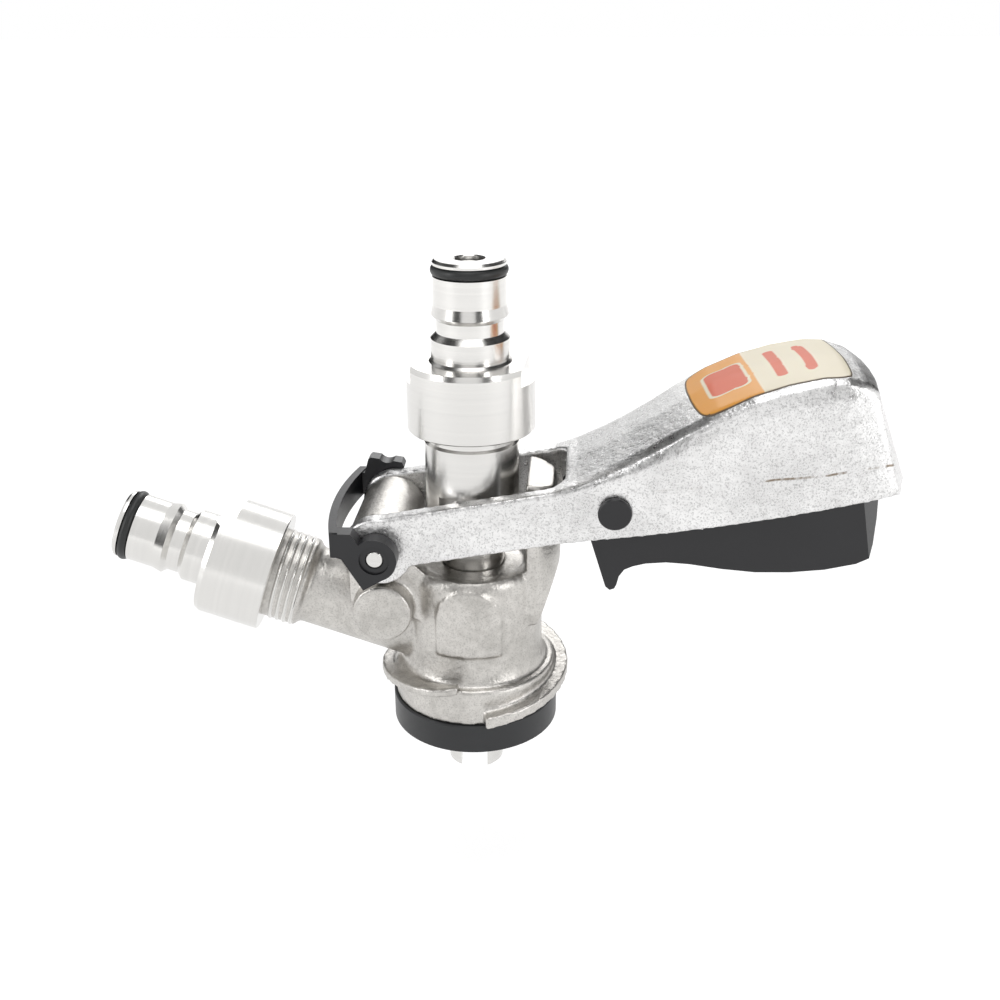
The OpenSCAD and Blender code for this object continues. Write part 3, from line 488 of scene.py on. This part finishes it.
def grip_label():
    """Grid a, b from -1 to 1: along = a * length / 2 + bow * (b^2 - 1) * a, across = b * width / 2,
    with the corners drawn in along a superellipse; it is laid on the grip from above."""
    a, b = np.meshgrid(np.linspace(-1, 1, LABEL_GRID), np.linspace(-1, 1, LABEL_GRID), indexing="ij")
    draw = (np.abs(a) ** CORNER_POWER + np.abs(b) ** CORNER_POWER) ** (-1 / CORNER_POWER)
    reach = np.maximum(np.abs(a), np.abs(b))
    draw = np.where(reach > 0, draw * reach, 1)
    a2, b2 = a * draw, b * draw
    length = a2 * LABEL_LENGTH / 2 - LABEL_BOW * (b2 ** 2) * a2
    across = b2 * LABEL_WIDTH / 2
    u = LABEL_AT + length * math.cos(LABEL_TURN) - across * math.sin(LABEL_TURN)
    y = length * math.sin(LABEL_TURN) + across * math.cos(LABEL_TURN)
    v = LABEL_HEIGHT + LABEL_RISE * (u - LABEL_AT) + LABEL_START
    x = HINGE[0] + u * math.cos(HANDLE_TILT) - v * math.sin(HANDLE_TILT)
    z = HINGE[1] + u * math.sin(HANDLE_TILT) + v * math.cos(HANDLE_TILT)
    points = np.stack([x, y, z], axis=-1)
    faces = grid_faces(LABEL_GRID, LABEL_GRID, False, False)
    piece = new_piece("printed_label", points, faces, printed_film, "handle_body")
    uv = np.stack([(a + 1) / 2, (b + 1) / 2], axis=-1).reshape(-1, 2)
    layer = piece.data.uv_layers.new(name="film")
    corners = np.empty(len(piece.data.loops), np.int32)
    piece.data.loops.foreach_get("vertex_index", corners)
    layer.data.foreach_set("uv", uv[corners].astype(np.float32).ravel())
    wrap = piece.modifiers.new("laid on the grip", "SHRINKWRAP")
    wrap.target = lever
    wrap.wrap_method = "PROJECT"
    wrap.use_project_z = True
    wrap.use_negative_direction = True
    wrap.use_positive_direction = False
    wrap.offset = LABEL_LIFT * MM
    thick = piece.modifiers.new("film", "SOLIDIFY")
    thick.thickness = LABEL_THICK * MM
    thick.offset = 1.0
    settle(piece)
    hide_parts("grip_label")


grip_label()


# Floor, lamps and camera
FLOOR_SIZE = 12.0
FLOOR_DROP = 34
FLOOR_LIFT = 0.70
# Squared distances from the middle, in metres, over which the lift grows to full white
FLOOR_FAR = (0.02, 0.6)
WORLD_LIGHT = 0.34
FLAG_REACH = 4.0
FLAG_NEAR = 0.36
FLAG_FAR = 0.72
FLAG_GREY = 0.06
FLAG_ROWS = 9
FLAG_SIDES = 72


def seen_directly(paint):
    """1 for rays from the camera, from metal's gloss or through glass, 0 for soft light."""
    rays = paint.node("ShaderNodeLightPath").socket.node
    seen = Wire(paint, rays.outputs["Is Camera Ray"])
    for ray in ("Is Glossy Ray", "Is Transmission Ray"):
        seen = seen.at_least(Wire(paint, rays.outputs[ray]))
    return seen


def floor_plane():
    """A flat floor below the coupler: a pale paint, lifted to white where it is seen."""
    low = cad_bounds[0][2] / MM - FLOOR_DROP
    half = FLOOR_SIZE / MM / 2
    points = np.array([[-half, -half, low], [half, -half, low], [half, half, low],
                       [-half, half, low]], float)
    p = Paint("pale_floor")
    grain = p.noise(20, 2.0)
    x, y, _ = p.parts(p.coordinates())
    lift = FLOOR_LIFT + (x * x + y * y).step(*FLOOR_FAR) * (1 - FLOOR_LIFT)
    p.finish(Base_Color=p.mix(grain, (0.50, 0.50, 0.50), (0.52, 0.52, 0.52)), Roughness=0.9,
             Emission_Color=p.mix(seen_directly(p) * lift, (0, 0, 0), (1, 1, 1)),
             Emission_Strength=1.0)
    mesh = bpy.data.meshes.new("floor")
    mesh.from_pydata((points * MM).tolist(), [], [(0, 1, 2, 3)])
    mesh.materials.append(p.material)
    floor = bpy.data.objects.new("floor", mesh)
    bpy.context.scene.collection.objects.link(floor)


floor_plane()


def soft_box(name, at, aim, size, power):
    """A square lamp at a point, turned towards another."""
    lamp = bpy.data.lights.new(name, "AREA")
    lamp.shape = "RECTANGLE"
    lamp.size, lamp.size_y = size
    lamp.energy = power
    holder = bpy.data.objects.new(name, lamp)
    holder.location = at
    way = Vector(aim) - Vector(at)
    holder.rotation_euler = way.to_track_quat("-Z", "Y").to_euler()
    bpy.context.scene.collection.objects.link(holder)


MIDDLE = (0.0, 0.0, 0.05)
soft_box("top_box", (0.05, -0.10, 0.85), MIDDLE, (0.5, 0.4), 1.5)
soft_box("left_box", (-0.75, -0.45, 0.45), MIDDLE, (0.22, 0.6), 2.3)
soft_box("right_box", (0.70, -0.55, 0.35), MIDDLE, (0.16, 0.6), 1.8)
soft_box("back_box", (0.1, 0.8, 0.5), MIDDLE, (0.6, 0.3), 1.6)


def white_world():
    """White to the camera, to metal and through glass; a soft grey light to everything else."""
    world = bpy.data.worlds.new("studio")
    world.use_nodes = True
    tree = world.node_tree
    lit = tree.nodes["Background"]
    lit.inputs["Color"].default_value = (1, 1, 1, 1)
    lit.inputs["Strength"].default_value = WORLD_LIGHT
    shown = tree.nodes.new("ShaderNodeBackground")
    shown.inputs["Color"].default_value = (1, 1, 1, 1)
    path = tree.nodes.new("ShaderNodeLightPath")
    seen = path.outputs["Is Camera Ray"]
    for ray in ("Is Glossy Ray", "Is Transmission Ray"):
        either = tree.nodes.new("ShaderNodeMath")
        either.operation = "MAXIMUM"
        tree.links.new(seen, either.inputs[0])
        tree.links.new(path.outputs[ray], either.inputs[1])
        seen = either.outputs[0]
    blend = tree.nodes.new("ShaderNodeMixShader")
    tree.links.new(seen, blend.inputs[0])
    tree.links.new(lit.outputs[0], blend.inputs[1])
    tree.links.new(shown.outputs[0], blend.inputs[2])
    tree.links.new(blend.outputs[0], tree.nodes["World Output"].inputs["Surface"])
    bpy.context.scene.world = world


white_world()


def dark_flag(name, sides):
    """A hoop of card round the X axis, far outside the lamps: at angle t its points are
    (side, r * cos t, r * sin t), with r the height of the sphere FLAG_REACH at that side.
    Only the metal's gloss sees it, as a studio's dark flag."""
    turn = np.linspace(0, 2 * math.pi, FLAG_SIDES, endpoint=False)
    side, t = np.meshgrid(np.linspace(sides[0], sides[1], FLAG_ROWS), turn, indexing="ij")
    reach = np.sqrt(1 - side ** 2)
    points = FLAG_REACH * np.stack([side, reach * np.cos(t), reach * np.sin(t)], axis=-1)
    p = Paint(name)
    mesh = bpy.data.meshes.new(name)
    mesh.from_pydata(points.reshape(-1, 3).tolist(), [],
                     grid_faces(FLAG_ROWS, FLAG_SIDES, False, True).tolist())
    mesh.materials.append(p.finish(
        Base_Color=(FLAG_GREY, FLAG_GREY, FLAG_GREY), Roughness=1.0, Specular_IOR_Level=0.0))
    flag = bpy.data.objects.new(name, mesh)
    flag.visible_camera = False
    flag.visible_diffuse = False
    flag.visible_shadow = False
    bpy.context.scene.collection.objects.link(flag)


dark_flag("left_flag", (-FLAG_FAR, -FLAG_NEAR))
dark_flag("right_flag", (FLAG_NEAR, FLAG_FAR))


def photo_camera():
    """The fitted view: forward, right and up from yaw, downward pitch and roll."""
    forward = Vector((-math.sin(CAMERA_YAW) * math.cos(CAMERA_DOWN),
                      math.cos(CAMERA_YAW) * math.cos(CAMERA_DOWN), -math.sin(CAMERA_DOWN)))
    level = Vector((math.cos(CAMERA_YAW), math.sin(CAMERA_YAW), 0))
    high = level.cross(forward)
    right = math.cos(CAMERA_ROLL) * level + math.sin(CAMERA_ROLL) * high
    up = math.cos(CAMERA_ROLL) * high - math.sin(CAMERA_ROLL) * level
    data = bpy.data.cameras.new("photo_camera")
    data.sensor_width = CAMERA_FILM
    data.sensor_fit = "HORIZONTAL"
    data.lens = CAMERA_LENS
    data.clip_start = 0.01
    holder = bpy.data.objects.new("photo_camera", data)
    turn = Matrix((right, up, -forward)).transposed().to_4x4()
    holder.matrix_world = Matrix.Translation(Vector(CAMERA_AT) * MM) @ turn
    bpy.context.scene.collection.objects.link(holder)
    bpy.context.scene.camera = holder


photo_camera()
bpy.context.scene.view_settings.view_transform = "Standard"
